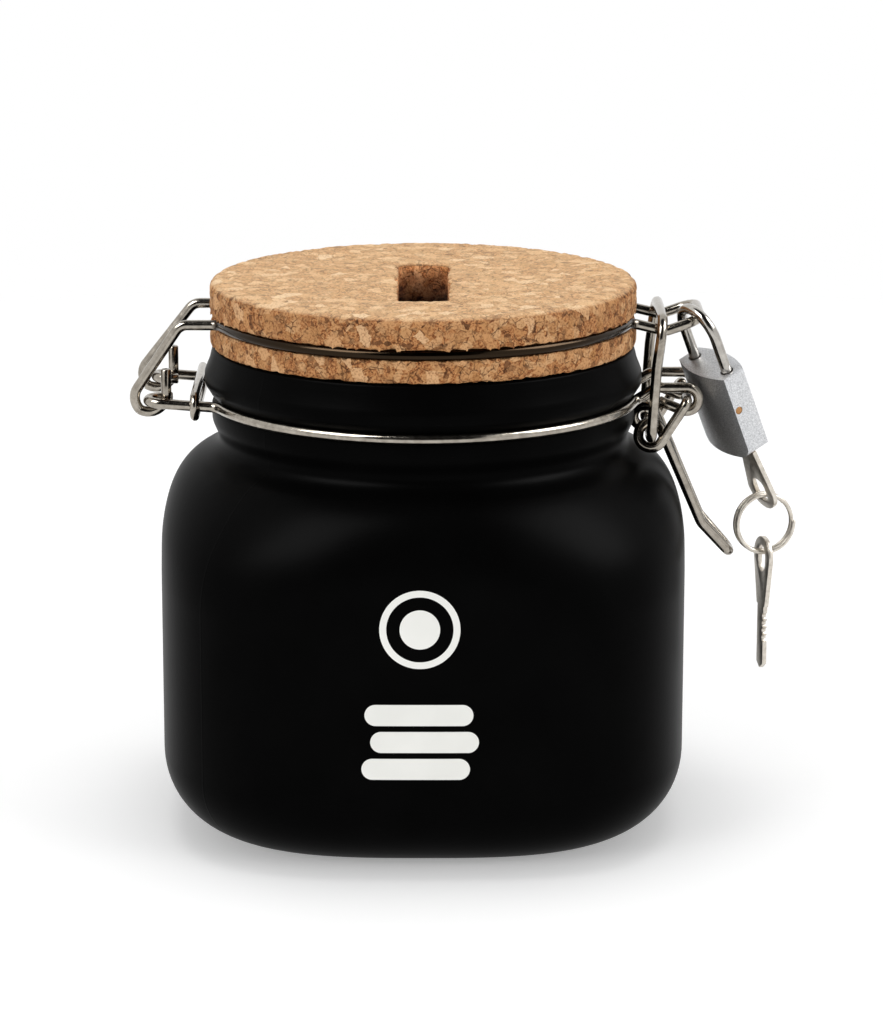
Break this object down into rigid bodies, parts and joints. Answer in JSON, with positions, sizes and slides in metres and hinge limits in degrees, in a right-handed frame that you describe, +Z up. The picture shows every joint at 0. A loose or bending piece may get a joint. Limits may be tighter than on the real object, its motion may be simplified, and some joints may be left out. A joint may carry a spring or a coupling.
{
  "type": "money box",
  "caption": "Rounded square jar money box with a slotted cork lid on a wire hinge, a wire lever clasp, and a small padlock hung with its keys.",
  "frame": {"origin": "middle of the flat base, on the jar's axis", "axes": "+Z up, the hinge at -X, the clasp and padlock at +X, the front face looks along -Y"},
  "size_m": [0.1489, 0.117, 0.1213],
  "materials": {
    "jar": "matte black paint on glass",
    "cork": "bare agglomerated cork",
    "spring_wire": "bright drawn wire",
    "shackle_steel": "plated",
    "padlock_paint": "speckled grey",
    "brass": "satin",
    "key_nickel": "nickel plated"
  },
  "bodies": {
    "jar": {"jar": "jar", "neck_wire_front": "spring_wire", "neck_wire_back": "spring_wire", "neck_clamp_ring": "spring_wire"},
    "lid": {"cork_lid": "cork", "lid_wire": "spring_wire"},
    "lever": {"lever": "spring_wire"},
    "bail": {"bail": "spring_wire"},
    "shackle": {"padlock_shackle": "shackle_steel"},
    "padlock": {"padlock_body": "padlock_paint", "padlock_retaining_pin": "brass", "padlock_latch_spring": "spring_wire"},
    "latch": {"padlock_latch": "brass"},
    "plug": {"padlock_plug": "brass", "padlock_wafer_1": "brass", "padlock_wafer_2": "brass", "padlock_wafer_3": "brass", "padlock_wafer_4": "brass"},
    "key": {"lock_key": "key_nickel"},
    "ring": {"key_ring": "key_nickel"},
    "spare": {"spare_key": "key_nickel"}
  },
  "joints": [
    {"name": "lid_hinge", "type": "hinge", "parent": "jar", "child": "lid", "pos_m": [-0.0606, 0, 0.0964], "axis": [0, -1, 0], "range_deg": [0, 100], "deforming": ["bail"]},
    {"name": "lever_pivot", "type": "hinge", "parent": "jar", "child": "lever", "pos_m": [0.0584, 0, 0.0956], "axis": [0, -1, 0], "range_deg": [0, 91]},
    {"name": "bail_pivot", "type": "hinge", "parent": "lever", "child": "bail", "pos_m": [0.0504, 0, 0.0878], "axis": [0, -1, 0], "range_deg": [-131, 0]},
    {"name": "padlock_swing", "type": "hinge", "parent": "lid", "child": "shackle", "pos_m": [0.06003, -0.00883, 0.11359], "axis": [-0.6677, -0.7067, -0.2339], "range_deg": [0, 60]},
    {"name": "padlock_drop", "type": "slide", "parent": "shackle", "child": "padlock", "axis": [0.3256, 0.2886, -0.9004], "range_m": [0, 0.005]},
    {"name": "latch_slide", "type": "slide", "parent": "padlock", "child": "latch", "axis": [-0.5084, 0.8563, 0.0906], "range_m": [0, 0.0028], "deforming": ["padlock_latch_spring"]},
    {"name": "key_turn", "type": "hinge", "parent": "padlock", "child": "plug", "pos_m": [0.06563, -0.00843, 0.10269], "axis": [-0.3256, -0.2886, 0.9004], "range_deg": [0, 91]},
    {"name": "key_withdraw", "type": "slide", "parent": "plug", "child": "key", "axis": [0.3256, 0.2886, -0.9004], "range_m": [0, 0.016]},
    {"name": "ring_swing", "type": "hinge", "parent": "key", "child": "ring", "pos_m": [0.0769, 0.00155, 0.07154], "axis": [0.9613, 0.2756, 0], "range_deg": [-20, 12]},
    {"name": "spare_swing", "type": "hinge", "parent": "ring", "child": "spare", "pos_m": [0.0771, 0.00085, 0.05834], "axis": [0.9613, 0.2756, 0], "range_deg": [-60, 40]}
  ],
  "couplings": [
    {"joint": "lever_pivot", "follows": "lid_hinge", "ratio": 0.9},
    {"joint": "bail_pivot", "follows": "lid_hinge", "ratio": -1.3},
    {"joint": "key_turn", "follows": "padlock_drop", "rad_per_m": 314.16},
    {"joint": "latch_slide", "follows": "padlock_drop", "ratio": 0.54945}
  ]
}
